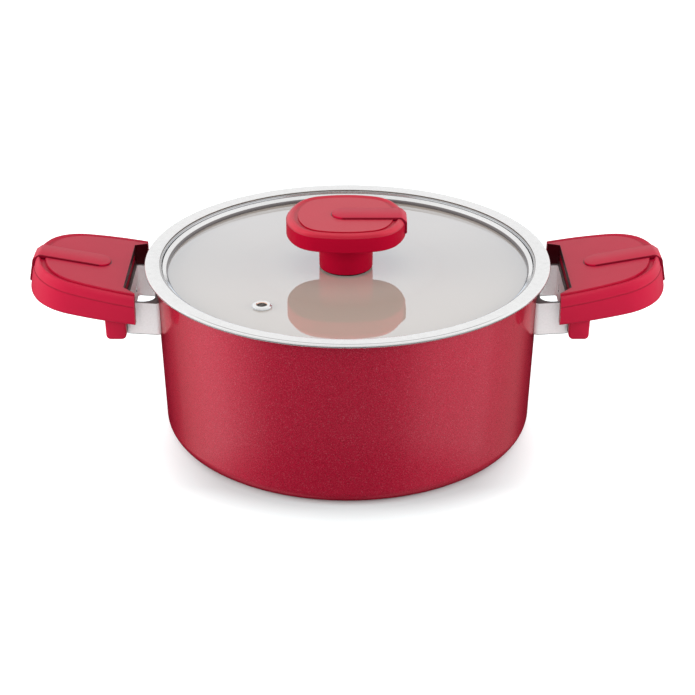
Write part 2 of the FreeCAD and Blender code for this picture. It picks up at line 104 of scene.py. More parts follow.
def drawSide(name, corners, depth=0.0, steps=6):
    # an outline in the XZ plane from (x, z, corner radius) points, each corner rounded by a spin
    count = len(corners)
    flat = [Vector((x, z)) for x, z, radius in corners]
    arcs = []
    for i in range(count):
        here = flat[i]
        into = (flat[i - 1] - here).normalized()
        out = (flat[(i + 1) % count] - here).normalized()
        radius = corners[i][2]
        half = into.angle(out) / 2
        run = radius / math.tan(half)
        centre = here + (into + out).normalized() * (radius / math.sin(half)) if radius else here
        turn = 180 - math.degrees(2 * half)
        side = into.x * out.y - into.y * out.x
        arcs.append((here + into * run, centre, turn if side > 0 else -turn, here + out * run))
    first = arcs[0][0]
    piece = startPoint(name, first.x, depth, first.y)
    place = first
    for i in range(count):
        start, centre, turn, end = arcs[i]
        if (start - place).length > weld["close"]:
            lineBy(start.x - place.x, 0, start.y - place.y)
        if corners[i][2]:
            arcBy((centre.x, depth, centre.y), (0, 1, 0), turn, max(2, round(steps * abs(turn) / 90)))
        place = end
    bpy.ops.mesh.select_all(action="SELECT")
    if (place - first).length > weld["close"]:
        bpy.ops.mesh.remove_doubles(threshold=weld["closer"])
    return piece


def openAtAxis(piece):
    # the edge that runs up the axis goes, so that the spun shell has no inner wall
    pick(piece, "EDGE", lambda a, b: abs(a.x) < touch and abs(b.x) < touch)
    bpy.ops.mesh.delete(type="EDGE")


def spinAbout(steps):
    # turns the drawn outline about Z into a closed shell
    bpy.ops.mesh.select_all(action="SELECT")
    bpy.ops.mesh.spin(steps=steps, angle=2 * math.pi, dupli=False, center=(0, 0, 0), axis=(0, 0, 1))
    tidyMesh()


def tidyMesh():
    bpy.ops.mesh.select_mode(type="VERT")
    bpy.ops.mesh.select_all(action="SELECT")
    bpy.ops.mesh.remove_doubles(threshold=weld["close"])
    bpy.ops.mesh.normals_make_consistent(inside=False)


def fill():
    bpy.ops.mesh.select_all(action="SELECT")
    bpy.ops.mesh.edge_face_add()


def closeLoop(gap):
    bpy.ops.mesh.select_all(action="SELECT")
    bpy.ops.mesh.remove_doubles(threshold=gap)
    fill()


def pull(x, y, z):
    # the filled outline is pulled out into a block
    bpy.ops.mesh.select_all(action="SELECT")
    bpy.ops.mesh.extrude_region_move(TRANSFORM_OT_translate={"value": (x * mm, y * mm, z * mm)})
    tidyMesh()


def bevelEdges(piece, radius, segments, wanted):
    pick(piece, "EDGE", wanted)
    bpy.ops.mesh.bevel(offset=radius * mm, segments=segments, profile=0.5, affect="EDGES", clamp_overlap=True)


def finished(piece, body, node, material):
    activate(piece)
    bpy.ops.object.shade_smooth_by_angle(angle=math.radians(sharpFrom))
    piece.data.materials.clear()
    piece.data.materials.append(material)
    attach(piece, body)
    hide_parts(node)


def turnedCopy(piece, name):
    # the left-hand piece is the right-hand one turned half a turn about Z, with its own mesh
    activate(piece)
    bpy.ops.object.duplicate(linked=False)
    other = bpy.context.active_object
    other.name = name
    other.data.name = name
    bpy.ops.object.mode_set(mode="EDIT")
    bpy.ops.mesh.select_all(action="SELECT")
    bpy.ops.transform.rotate(value=math.pi, orient_axis="Z", center_override=(0, 0, 0))
    bpy.ops.object.mode_set(mode="OBJECT")
    return other


def carve(piece, cutter, operation="DIFFERENCE"):
    activate(piece)
    modifier = piece.modifiers.new("carve", "BOOLEAN")
    modifier.operation = operation
    modifier.solver = "EXACT"
    modifier.object = cutter
    bpy.ops.object.modifier_apply(modifier=modifier.name)
    bpy.data.objects.remove(cutter)


def cutBox(low, high):
    # a block between two corners, used to cut another piece
    deselectAll()
    bpy.ops.mesh.primitive_cube_add(size=1)
    block = bpy.context.active_object
    edit(block)
    bpy.ops.mesh.select_all(action="SELECT")
    size = [(high[i] - low[i]) * mm for i in range(3)]
    middle = [(high[i] + low[i]) * mm / 2 for i in range(3)]
    bpy.ops.transform.resize(value=size)
    bpy.ops.transform.translate(value=middle)
    bpy.ops.object.mode_set(mode="OBJECT")
    return block


# materials

def newMaterial(name):
    material = bpy.data.materials.new(name)
    material.use_nodes = True
    tree = material.node_tree
    return material, tree, tree.nodes["Principled BSDF"]


def add(tree, kind, **values):
    node = tree.nodes.new(kind)
    for key, value in values.items():
        setattr(node, key, value)
    return node


def objectPlace(tree):
    return add(tree, "ShaderNodeTexCoord").outputs["Object"]


def noise(tree, place, scale, detail=2.0, rough=0.5):
    texture = add(tree, "ShaderNodeTexNoise")
    texture.inputs["Scale"].default_value = scale
    texture.inputs["Detail"].default_value = detail
    texture.inputs["Roughness"].default_value = rough
    tree.links.new(place, texture.inputs["Vector"])
    return texture.outputs["Fac"]


def spread(tree, value, low, high, fromLow=0.3, fromHigh=0.7):
    ranged = add(tree, "ShaderNodeMapRange")
    ranged.inputs["From Min"].default_value = fromLow
    ranged.inputs["From Max"].default_value = fromHigh
    ranged.inputs["To Min"].default_value = low
    ranged.inputs["To Max"].default_value = high
    tree.links.new(value, ranged.inputs["Value"])
    return ranged.outputs["Result"]


def mixed(tree, factor, first, second):
    # each colour is three values or another node's output
    mix = add(tree, "ShaderNodeMix", data_type="RGBA")
    for socket, colour in ((mix.inputs[6], first), (mix.inputs[7], second)):
        if isinstance(colour, (tuple, list)):
            socket.default_value = (*colour, 1)
        else:
            tree.links.new(colour, socket)
    tree.links.new(factor, mix.inputs[0])
    return mix.outputs[2]


def mixedShaders(tree, factor, first, second):
    mix = add(tree, "ShaderNodeMixShader")
    tree.links.new(factor, mix.inputs[0])
    tree.links.new(first.outputs[0], mix.inputs[1])
    tree.links.new(second.outputs[0], mix.inputs[2])
    return mix


def bump(tree, height, shader, strength, distance):
    node = add(tree, "ShaderNodeBump")
    node.inputs["Strength"].default_value = strength
    node.inputs["Distance"].default_value = distance
    tree.links.new(height, node.inputs["Height"])
    tree.links.new(node.outputs["Normal"], shader.inputs["Normal"])


def maths(tree, operation, a, b=None):
    node = add(tree, "ShaderNodeMath", operation=operation)
    for socket, value in zip(node.inputs, (a, b)):
        if value is None:
            continue
        if isinstance(value, (int, float)):
            socket.default_value = value
        else:
            tree.links.new(value, socket)
    return node.outputs[0]


def apart(tree, vector):
    parts = add(tree, "ShaderNodeSeparateXYZ")
    tree.links.new(vector, parts.inputs[0])
    return parts.outputs


def facingParts(tree):
    return apart(tree, add(tree, "ShaderNodeNewGeometry").outputs["Normal"])


def length(tree, a, b):
    square = maths(tree, "ADD", maths(tree, "MULTIPLY", a, a), maths(tree, "MULTIPLY", b, b))
    return maths(tree, "SQRT", square)


# inside is told from outside by the middle of the leaning wall and the level of the floor, in metres
lacquer = {"red": (0.6, 0.014, 0.052), "deepRed": (0.36, 0.006, 0.024), "inside": (0.5, 0.37, 0.29),
           "insideFleck": (0.62, 0.47, 0.38), "rough": 0.3, "metal": 0.5, "coat": 0.9, "limbCoat": 0.35,
           "limb": (0.4, 0.7), "coatRough": 0.04, "tint": (0.9, 0.12, 0.18), "sheen": 0.1, "grainScale": 2600,
           "flake": (0.85, 0.28, 0.34), "flakeScale": 2300, "flakeShare": 0.26, "flakeFrom": (0.56, 0.74),
           "fleckScale": 900, "fleckFrom": (0.45, 0.65), "wallLean": 0.0349, "wallFoot": 0.0980, "floor": 0.0035}


def lacquerMaterial():
    # metallic red with a fine glitter outside, speckled non-stick inside
    material, tree, shader = newMaterial("redLacquer")
    place = objectPlace(tree)
    x, y, height = apart(tree, place)
    fine = noise(tree, place, lacquer["grainScale"], 1.0)
    outside = mixed(tree, spread(tree, fine, 0, 1), lacquer["deepRed"], lacquer["red"])
    flakes = noise(tree, place, lacquer["flakeScale"], 1.0)
    glitter = spread(tree, flakes, 0, lacquer["flakeShare"], *lacquer["flakeFrom"])
    flaked = mixed(tree, glitter, outside, lacquer["flake"])
    flecks = noise(tree, place, lacquer["fleckScale"], 2.0)
    inside = mixed(tree, spread(tree, flecks, 0, 1, *lacquer["fleckFrom"]), lacquer["inside"],
                   lacquer["insideFleck"])
    wallMiddle = maths(tree, "ADD", maths(tree, "MULTIPLY", height, lacquer["wallLean"]), lacquer["wallFoot"])
    aboveFloor = maths(tree, "GREATER_THAN", height, lacquer["floor"])
    within = maths(tree, "LESS_THAN", length(tree, x, y), wallMiddle)
    isInside = maths(tree, "MULTIPLY", within, aboveFloor)
    tree.links.new(mixed(tree, isInside, flaked, inside), shader.inputs["Base Color"])
    outer = maths(tree, "SUBTRACT", 1.0, isInside)
    tree.links.new(maths(tree, "MULTIPLY", outer, lacquer["metal"]), shader.inputs["Metallic"])
    facing = add(tree, "ShaderNodeLayerWeight")
    facing.inputs["Blend"].default_value = 0.5
    coat = spread(tree, facing.outputs["Facing"], lacquer["coat"], lacquer["limbCoat"], *lacquer["limb"])
    tree.links.new(maths(tree, "MULTIPLY", outer, coat), shader.inputs["Coat Weight"])
    shader.inputs["Coat Roughness"].default_value = lacquer["coatRough"]
    shader.inputs["Specular Tint"].default_value = (*lacquer["tint"], 1)
    shader.inputs["Specular IOR Level"].default_value = lacquer["sheen"]
    tree.links.new(spread(tree, fine, lacquer["rough"] - 0.03, lacquer["rough"] + 0.05), shader.inputs["Roughness"])
    bump(tree, fine, shader, 0.05, 0.0001)
    return material


def darkened(tree, factor, colour, red, share):
    # where the factor is one, the colour gives way to a darker share of the red
    return mixed(tree, factor, colour, [c * share for c in red])


# a pair is where a shading starts and ends; line, gap and flank are in metres
mould = {"turn": (0.1, 0.5), "toneScale": 60, "grainScale": 3000, "line": (0.00025, 0.00045), "lineShare": 0.78,
         "gap": (0.0075, 0.0078), "stripShadowShare": 0.3, "flank": (0.0067, 0.0070), "flankShare": 0.4,
         "notchOver": 0.15, "notchShare": 0.08, "footOver": 0.2, "footShare": 0.04}


def moulded(name, red, deeper, rough, sheen, seam=None, side=1.0):
    # through-coloured moulding with a very fine surface: its upright faces take another sheen than its top,
    # and painted shade, a darker tone, where side is below one
    material, tree, shader = newMaterial(name)
    place = objectPlace(tree)
    x, y, z = apart(tree, place)
    up = facingParts(tree)[2]
    tree.links.new(spread(tree, up, *sheen, *mould["turn"]), shader.inputs["Specular IOR Level"])
    colour = mixed(tree, spread(tree, noise(tree, place, mould["toneScale"], 3.0), 0, 1), deeper, red)
    # painted shade: faces that turn from the top to upright take a darker share of the red, by side
    colour = darkened(tree, spread(tree, up, 1, 0, *mould["turn"]), colour, red, side)
    if seam:
        colour = seamShaded(tree, x, y, z, colour, red, seam)
    else:
        # painted shade on the strip's standing edges
        flank = spread(tree, maths(tree, "ABSOLUTE", y), 0, 1, *mould["flank"])
        colour = darkened(tree, flank, colour, red, mould["flankShare"])
    tree.links.new(colour, shader.inputs["Base Color"])
    fine = noise(tree, place, mould["grainScale"], 2.0)
    tree.links.new(spread(tree, fine, rough - 0.03, rough + 0.04), shader.inputs["Roughness"])
    bump(tree, fine, shader, 0.06, 0.00005)
    return material


def seamShaded(tree, x, y, z, colour, red, seam):
    # painted shade along the parting line, in a plane that tilts about Y
    across = maths(tree, "ABSOLUTE", x) if seam["pair"] else x
    away = maths(tree, "SUBTRACT", across, seam["x"] * mm)
    above = maths(tree, "SUBTRACT", z, seam["z"] * mm)
    tilt = math.radians(seam["tilt"])
    level = maths(tree, "SUBTRACT", maths(tree, "MULTIPLY", above, math.cos(tilt)),
                  maths(tree, "MULTIPLY", away, math.sin(tilt)))
    # painted shade in the crease along the parting line
    line = spread(tree, maths(tree, "ABSOLUTE", level), 1, 0, *mould["line"])
    colour = darkened(tree, line, colour, red, mould["lineShare"])
    # painted shadow in the narrow gap round the strip
    along = maths(tree, "ADD", maths(tree, "MULTIPLY", away, math.cos(tilt)),
                  maths(tree, "MULTIPLY", above, math.sin(tilt)))
    short = maths(tree, "MINIMUM", maths(tree, "SUBTRACT", along, seam["strip"] * mm), 0.0)
    near = spread(tree, length(tree, short, y), 1, 0, *mould["gap"])
    near = maths(tree, "MULTIPLY", near, maths(tree, "GREATER_THAN", level, -seam["foot"] * mm))
    colour = darkened(tree, near, colour, red, mould["stripShadowShare"])
    if seam["tilt"]:
        # the shaded inside of the notch that takes the bracket
        over = mould["notchOver"]
        inward = maths(tree, "SUBTRACT", grip["panelEdge"] * mm, maths(tree, "ABSOLUTE", x))
        widening = (grip["earHalf"] - grip["notchHalf"]) / (grip["panelEdge"] - grip["innerEnd"])
        edge = maths(tree, "ADD", maths(tree, "MULTIPLY", inward, widening), (grip["notchHalf"] + over) * mm)
        within = maths(tree, "LESS_THAN", maths(tree, "ABSOLUTE", y), edge)
        inner = maths(tree, "MULTIPLY", within, maths(tree, "GREATER_THAN", inward, -over * mm))
        return darkened(tree, inner, colour, red, mould["notchShare"])
    # the shaded foot line
    low = spread(tree, level, 1, 0, -seam["base"] * mm, (mould["footOver"] - seam["base"]) * mm)
    return darkened(tree, low, colour, red, mould["footShare"])


grain = {"scale": 400, "darker": 0.94, "bump": 0.00003, "drawn": (1, 1, 22.5), "even": (2.25, 2.25, 2.25)}


def steel(name, colour, rough, stretch=grain["drawn"], brushed=0.04, metal=1.0):
    material, tree, shader = newMaterial(name)
    shader.inputs["Metallic"].default_value = metal
    mapping = add(tree, "ShaderNodeMapping")
    mapping.inputs["Scale"].default_value = stretch
    tree.links.new(objectPlace(tree), mapping.inputs["Vector"])
    lines = noise(tree, mapping.outputs["Vector"], grain["scale"], 2.0)
    darker = tuple(c * grain["darker"] for c in colour)
    tree.links.new(mixed(tree, spread(tree, lines, 0, 1), darker, colour), shader.inputs["Base Color"])
    tree.links.new(spread(tree, lines, rough - 0.03, rough + 0.05), shader.inputs["Roughness"])
    bump(tree, lines, shader, brushed, grain["bump"])
    return material


def recoloured(material):
    # the tree, base colour and shader of a finished material, to be mixed further
    tree = material.node_tree
    shader = tree.nodes["Principled BSDF"]
    return tree, shader.inputs["Base Color"].links[0].from_socket, shader.inputs["Base Color"]


# the lower edge's painted shade is placed by the edge's height at one distance from the middle and its rise in
# degrees; turned is in metres
strapLook = {"tone": (0.98, 0.98, 0.98), "rough": 0.42, "metal": 0.03, "brushed": 0.02, "edge": (0.13, 0.115, 0.115),
             "flatEdgeShade": (0.75, 0.9), "awayX": 100, "lowZ": 60.8, "rise": 3.5, "turned": (0.0002, 0.0007),
             "turnedShare": 0.6}


def strapMaterial():
    # satin steel strap; its flat edges that face up or down get painted shade, and so does a narrow band along its
    # lower edge
    material = steel("satinSteel", strapLook["tone"], strapLook["rough"], grain["even"], strapLook["brushed"],
                     strapLook["metal"])
    tree, colour, base = recoloured(material)
    x, y, z = apart(tree, objectPlace(tree))
    # painted shade on the edges that face up or down
    flatEdgeShade = spread(tree, maths(tree, "ABSOLUTE", facingParts(tree)[2]), 0, 1, *strapLook["flatEdgeShade"])
    # painted shade in a narrow band along the lower edge
    away = maths(tree, "SUBTRACT", maths(tree, "ABSOLUTE", x), strapLook["awayX"] * mm)
    rise = math.tan(math.radians(strapLook["rise"]))
    edge = maths(tree, "ADD", maths(tree, "MULTIPLY", away, rise), strapLook["lowZ"] * mm)
    turned = spread(tree, maths(tree, "SUBTRACT", z, edge), strapLook["turnedShare"], 0, *strapLook["turned"])
    tree.links.new(mixed(tree, maths(tree, "MAXIMUM", flatEdgeShade, turned), colour, strapLook["edge"]), base)
    return material


polish = {"tone": (0.84, 0.84, 0.84), "rough": 0.12, "metal": 0.75, "soft": 0.2, "fade": 15}


def paintedBandSteel(name, bands, dark, front=None):
    # polished steel with narrow painted bands of one colour, each given by its measure, place, half width and
    # strength;
    # the first may stay on the front alone
    material = steel(name, polish["tone"], polish["rough"], metal=polish["metal"])
    tree, colour, base = recoloured(material)
    x, y, height = apart(tree, objectPlace(tree))
    turn = math.radians(vent["angle"])
    offX = maths(tree, "SUBTRACT", x, vent["r"] * math.cos(turn) * mm)
    offY = maths(tree, "SUBTRACT", y, vent["r"] * math.sin(turn) * mm)
    measures = {"radius": length(tree, x, y), "height": height, "ventRadius": length(tree, offX, offY)}
    share = None
    for measure, place, half, strength in bands:
        gap = maths(tree, "ABSOLUTE", maths(tree, "SUBTRACT", measures[measure], place * mm))
        one = spread(tree, gap, strength, 0, half * mm, (half + polish["soft"]) * mm)
        if front and not share:
            one = maths(tree, "MULTIPLY", one, spread(tree, y, 1, 0, -(front + polish["fade"]) * mm, -front * mm))
        share = maths(tree, "MAXIMUM", share, one) if share else one
    # the bands are painted shade on the lid ring and painted light in the eyelet's bore
    tree.links.new(mixed(tree, share, colour, dark), base)
    return material


disc = {"scale": 3000, "dark": (0.5, 0.49, 0.48), "light": (0.66, 0.65, 0.64), "rough": (0.28, 0.4)}


def discMaterial():
    # circular brushing, drawn by distance from the axis
    material, tree, shader = newMaterial("brushedDisc")
    x, y, z = apart(tree, objectPlace(tree))
    rings = add(tree, "ShaderNodeTexNoise", noise_dimensions="1D")
    rings.inputs["Scale"].default_value = disc["scale"]
    rings.inputs["Detail"].default_value = 3
    tree.links.new(length(tree, x, y), rings.inputs["W"])
    shader.inputs["Metallic"].default_value = 1.0
    tone = spread(tree, rings.outputs["Fac"], 0, 1)
    tree.links.new(mixed(tree, tone, disc["dark"], disc["light"]), shader.inputs["Base Color"])
    tree.links.new(spread(tree, rings.outputs["Fac"], *disc["rough"]), shader.inputs["Roughness"])
    bump(tree, rings.outputs["Fac"], shader, 0.15, 0.00005)
    return material


# hazeReach is in metres from the axis
paneLook = {"tint": (0.82, 0.79, 0.75), "haze": (0.84, 0.72, 0.61), "hazeNear": (1.0, 0.93, 0.81),
            "hazeReach": (0.014, 0.05), "hazeShare": 0.66, "clearShare": 0.25, "slant": (0.15, 0.5),
            "slope": 3.2, "most": 0.9, "gloss": (0.8, 0.88, 0.97), "rough": 0.01, "index": 1.5}


def glassMaterial():
    # a flat pane: fairly clear from above, hazier from a low angle, with painted light on the haze round the knob,
    # where the knob shades it, and with a clean reflection that grows towards grazing
    material = bpy.data.materials.new("paneGlass")
    material.use_nodes = True
    tree = material.node_tree
    tree.nodes.clear()
    out = add(tree, "ShaderNodeOutputMaterial")
    place = objectPlace(tree)
    faint = spread(tree, noise(tree, place, 30, 2.0), 0.95, 1.0)
    clear = add(tree, "ShaderNodeBsdfTransparent")
    tint = add(tree, "ShaderNodeMix", data_type="RGBA", blend_type="MULTIPLY")
    tint.inputs[0].default_value = 1.0
    tint.inputs[6].default_value = (*paneLook["tint"], 1)
    tree.links.new(faint, tint.inputs[7])
    tree.links.new(tint.outputs[2], clear.inputs["Color"])
    haze = add(tree, "ShaderNodeBsdfDiffuse")
    x, y, z = apart(tree, place)
    # painted light: the haze is lighter near the axis, where the knob's shadow falls
    reach = spread(tree, length(tree, x, y), 0, 1, *paneLook["hazeReach"])
    tree.links.new(mixed(tree, reach, paneLook["hazeNear"], paneLook["haze"]), haze.inputs["Color"])
    slant = add(tree, "ShaderNodeLayerWeight")
    slant.inputs["Blend"].default_value = 0.5
    hazy = spread(tree, slant.outputs["Facing"], paneLook["clearShare"], paneLook["hazeShare"], *paneLook["slant"])
    body = mixedShaders(tree, hazy, clear, haze)
    gloss = add(tree, "ShaderNodeBsdfGlossy")
    gloss.inputs["Color"].default_value = (*paneLook["gloss"], 1)
    gloss.inputs["Roughness"].default_value = paneLook["rough"]
    fresnel = add(tree, "ShaderNodeFresnel")
    fresnel.inputs["IOR"].default_value = paneLook["index"]
    steep = maths(tree, "MULTIPLY", fresnel.outputs[0], paneLook["slope"])
    both = mixedShaders(tree, maths(tree, "MINIMUM", steep, paneLook["most"]), body, gloss)
    tree.links.new(both.outputs[0], out.inputs["Surface"])
    return material


silicone = {"tone": (0.012, 0.008, 0.008), "lighter": 1.3, "scale": 1500, "rough": (0.45, 0.55)}


def siliconeMaterial():
    material, tree, shader = newMaterial("darkSilicone")
    fine = noise(tree, objectPlace(tree), silicone["scale"], 2.0)
    lighter = tuple(c * silicone["lighter"] for c in silicone["tone"])
    tree.links.new(mixed(tree, spread(tree, fine, 0, 1), silicone["tone"], lighter), shader.inputs["Base Color"])
    tree.links.new(spread(tree, fine, *silicone["rough"]), shader.inputs["Roughness"])
    return material


# measures that the materials above share with the shapes below
grip = {"x": 110.9, "z": 82.75, "tilt": 10.5, "halfWidth": 38.5, "sideR": 157.0, "tip": 57.4, "tipR": 47.0,
        "cornerR": 28.0, "startX": -6.0, "panelUp": 5.9, "depth": 10.2, "spare": 6.0, "underFall": 3.0,
        "edgeR": 1.6, "innerEnd": 110.5, "panelEdge": 116.8, "notchHalf": 28.2, "earHalf": 33.3,
        "pocketDeep": 7.0, "pocketHigh": 3.6, "pocketRoof": 2.7, "pocketHalf": 25.0, "arcSteps": 14, "endSteps": 22,
        "border": [(0.3, 0, 0.03), (0.4, 0.02, 0.3), (0.5, 0.08, 1.6), (0.6, 0.12, 3.0), (0.78, 0.22, 4.2),
                   (1.05, 0.35, 5.15), (1.35, 0.5, 5.65), (1.65, 0.62, 5.8), (1.9, 0.7, 5.7), (2.15, 0.74, 5.35),
                   (2.5, 0.78, 4.8), (2.9, 0.8, 4.6), (4.55, 1.1, 4.6), (4.65, 1.15, 5.65), (4.85, 1.2, 5.9)]}

vent = {"r": 68.0, "angle": 230.1, "bore": 2.65, "tube": 0.45, "flange": 5.2, "high": 1.6, "curlR": 4.0,
        "curlHigh": 0.6, "foldR": 0.2, "flangeR": 0.3, "crownR": 1.2, "boreR": 0.6, "paneTop": 89.6, "paneLow": 85.6,
        "washer": 1.0, "arcSteps": 8, "steps": 64}

gripSeam = {"x": grip["x"], "z": grip["z"], "tilt": grip["tilt"], "pair": True, "strip": 24.2, "foot": 9.3}
knobSeam = {"x": -0.8, "z": 117.15, "tilt": 0.0, "pair": False, "strip": -0.4, "foot": 6.3, "base": 26.7}
# painted shade lines on the lid ring, the first on its front only
ringShadeBands = [("radius", 106.6, 0.25, 0.5), ("radius", 96.1, 0.45, 0.9), ("height", 94.0, 0.2, 0.5)]

redLacquer = lacquerMaterial()
redGrip = moulded("redGrip", (0.465, 0.003, 0.033), (0.445, 0.002, 0.03), 0.45, (0.22, 0.4), gripSeam)
# the knob's upright faces get painted shade, side 0.74
redKnob = moulded("redKnob", (0.49, 0.003, 0.027), (0.47, 0.002, 0.024), 0.45, (0.02, 0.74), knobSeam, 0.74)
redStrip = moulded("redStrip", (0.49, 0.003, 0.034), (0.47, 0.002, 0.031), 0.48, (0.08, 0.42))
ringSteel = paintedBandSteel("ringSteel", ringShadeBands, (0.12, 0.1, 0.1), 70)
# painted light: the eyelet's bore is coloured a light brown where it lies in shade
eyeletSteel = paintedBandSteel("eyeletSteel", [("ventRadius", 1.4, 1.4, 1.0)], (1.0, 0.7, 0.58))
satinSteel = strapMaterial()
screwSteel = steel("screwSteel", (0.66, 0.66, 0.65), 0.3, grain["even"])
brushedDisc = discMaterial()
paneGlass = glassMaterial()
darkSilicone = siliconeMaterial()
brassInsert = steel("brassInsert", (0.78, 0.55, 0.25), 0.3, grain["even"])
print("materials ready")

for name, node in nodes.items():
    look = {"base_disc": brushedDisc, "lid_glass": paneGlass, "vent_washer": darkSilicone,
            "knob_gasket": darkSilicone, "knob_lower_gasket": darkSilicone, "knob_insert": brassInsert,
            "knob_washer": screwSteel, "knob_screw": screwSteel, "pot_body": redLacquer,
            "lid_rim": ringSteel, "vent_eyelet": eyeletSteel, "knob_head": redKnob,
            "knob_stem": redKnob, "knob_strip": redStrip}.get(name)
    if look is None:
        look = {"bracket": satinSteel, "bracket_rivets": satinSteel, "bracket_boss": satinSteel,
                "grip": redGrip, "grip_strip": redStrip, "grip_screw": screwSteel}[name.split("_", 1)[1]]
    node.data.materials.clear()
    node.data.materials.append(look)


# pot body: one turned shell, outside and inside
pot = {"height": 94.2, "mouth": 100.0, "wall": 2.6, "lean": math.tan(math.radians(2.0)), "floor": 4.6,
       "outerCorner": 8.0, "innerCorner": 7.0, "pocket": 84.15, "pocketDeep": 1.4, "lipR": 0.3,
       "arcSteps": 14, "steps": 192}


def potRadius(z):
    return pot["mouth"] + pot["wall"] - (pot["height"] - z) * pot["lean"]


def makePot():
    top = pot["height"]
    lip = pot["lipR"]
    corners = [(0, pot["pocketDeep"], 0), (pot["pocket"], pot["pocketDeep"], 0), (pot["pocket"], 0, lip),
               (potRadius(0), 0, pot["outerCorner"]), (potRadius(top), top, lip), (pot["mouth"], top, lip),
               (potRadius(pot["floor"]) - pot["wall"], pot["floor"], pot["innerCorner"]), (0, pot["floor"], 0)]
    piece = drawSide("potBody", corners, steps=pot["arcSteps"])
    openAtAxis(piece)
    spinAbout(pot["steps"])
    finished(piece, "pot", "pot_body", redLacquer)


makePot()
print("pot body ready")


# lid rim: formed ring with a rolled hem, a step and a sloping ledge
rim = {"flange": 108.0, "flangeIn": 100.5, "top": 95.05, "hem": 2.6, "hemDeep": 2.0, "stepR": 98.5,
       "stepDrop": 2.3, "lipR": 95.9, "lipDrop": 1.85, "lipThick": 1.3, "spigot": 99.0, "sheet": 0.85,
       "glassThick": 4.0, "underThick": 0.9, "underReach": 3.4, "crownR": 1.2, "rollR": 1.1, "foldR": 0.3,
       "lipEdgeR": 0.4, "ledgeR": 1.0, "arcSteps": 8, "steps": 224}


def makeRim():
    top = rim["top"]
    ledge = top - rim["stepDrop"]
    lip = ledge - rim["lipDrop"]
    paneTop = lip - rim["lipThick"]
    paneLow = paneTop - rim["glassThick"]
    low = paneLow - rim["underThick"]
    channel = rim["spigot"] - rim["sheet"]
    inside = channel - rim["underReach"]
    hemIn = rim["flange"] - rim["hem"]
    hemLow = top - rim["hemDeep"]
    roll = rim["rollR"]
    fold = rim["foldR"]
    corners = [(rim["flangeIn"], top, rim["crownR"]), (rim["flange"], top, roll), (rim["flange"], hemLow, roll),
               (hemIn, hemLow, fold), (hemIn, pot["height"], fold), (rim["spigot"], pot["height"], fold),
               (rim["spigot"], low, 2 * fold), (inside, low, fold), (inside, paneLow, fold), (channel, paneLow, 0),
               (channel, paneTop, 0), (rim["lipR"], paneTop, fold), (rim["lipR"], lip, rim["lipEdgeR"]),
               (rim["stepR"], ledge, rim["ledgeR"])]
    piece = drawSide("lidRim", corners, steps=rim["arcSteps"])
    spinAbout(rim["steps"])
    finished(piece, "lid", "lid_rim", ringSteel)


makeRim()
print("lid rim ready")


# grips: drawn outline, wall pulled down, bead rolled in over the top, panel let down inside it
block = {"near": 116.2, "far": 127.4, "half": 33.0, "edgeR": 2.4, "endR": 0.9, "lowZ": 61.79, "taper": 0.62}
strap = {"reach": 117.7, "half": 25.4, "top": 80.1, "clear": 0.15}
strip = {"half": 7.1, "sink": 1.3, "proud": 0.9, "wrap": 0.5, "gripStart": 17.2, "gripEnd": 9.0, "gripShoulder": 3.2,
         "knobStart": -7.4, "knobDrop": 8.3, "knobShoulder": 2.8, "outerBend": 0.8, "innerBend": 0.4, "endR": 0.8,
         "roundSteps": 16, "edgeR": 0.3, "edgeFrom": 40}
# how far the cutting blocks reach past the moulding
beyond = {"trimX": 80, "y": 60, "trimLow": 40, "trimHigh": 130, "notchX": 100, "notchLow": 50, "notchHigh": 120,
          "slotX": 60}


def touchingCircle(sideCentre, sideR, endCentre, endR, radius):
    # centre of the corner circle that touches the side and end circles from inside
    reachA = sideR - radius
    reachB = endR - radius
    across = endCentre - sideCentre
    gap = across.length
    along = (reachA ** 2 - reachB ** 2 + gap ** 2) / (2 * gap)
    aside = math.sqrt(reachA ** 2 - along ** 2)
    step = across.normalized()
    normal = Vector((-step.y, step.x))
    options = [sideCentre + step * along + normal * s for s in (aside, -aside)]
    return max(options, key=lambda p: p.x + p.y)


def bearing(point):
    return math.degrees(math.atan2(point.y, point.x))


def gripOutline(name):
    sideCentre = Vector((0, grip["halfWidth"] - grip["sideR"]))
    endCentre = Vector((grip["tip"] - grip["tipR"], 0))
    corner = touchingCircle(sideCentre, grip["sideR"], endCentre, grip["tipR"], grip["cornerR"])
    startY = sideCentre.y + math.sqrt(grip["sideR"] ** 2 - grip["startX"] ** 2)
    piece = startPoint(name, grip["startX"], startY, 0)
    sideFrom = bearing(Vector((grip["startX"], startY)) - sideCentre)
    sideTo = bearing(corner - sideCentre)
    endTo = bearing(corner - endCentre)
    up = (0, 0, 1)
    steps = grip["arcSteps"]
    arcBy((sideCentre.x, sideCentre.y, 0), up, sideTo - sideFrom, steps)
    arcBy((corner.x, corner.y, 0), up, endTo - sideTo, steps)
    arcBy((endCentre.x, endCentre.y, 0), up, -2 * endTo, grip["endSteps"])
    arcBy((corner.x, -corner.y, 0), up, endTo - sideTo, steps)
    arcBy((sideCentre.x, -sideCentre.y, 0), up, sideTo - sideFrom, steps)
    closeLoop(weld["closer"])
    return piece


def faceUp(piece):
    # the drawn outline's one face, turned to look up
    mesh = bmesh.from_edit_mesh(piece.data)
    mesh.faces.ensure_lookup_table()
    mesh.normal_update()
    if mesh.faces[0].normal.z < 0:
        bpy.ops.mesh.select_all(action="SELECT")
        bpy.ops.mesh.flip_normals()


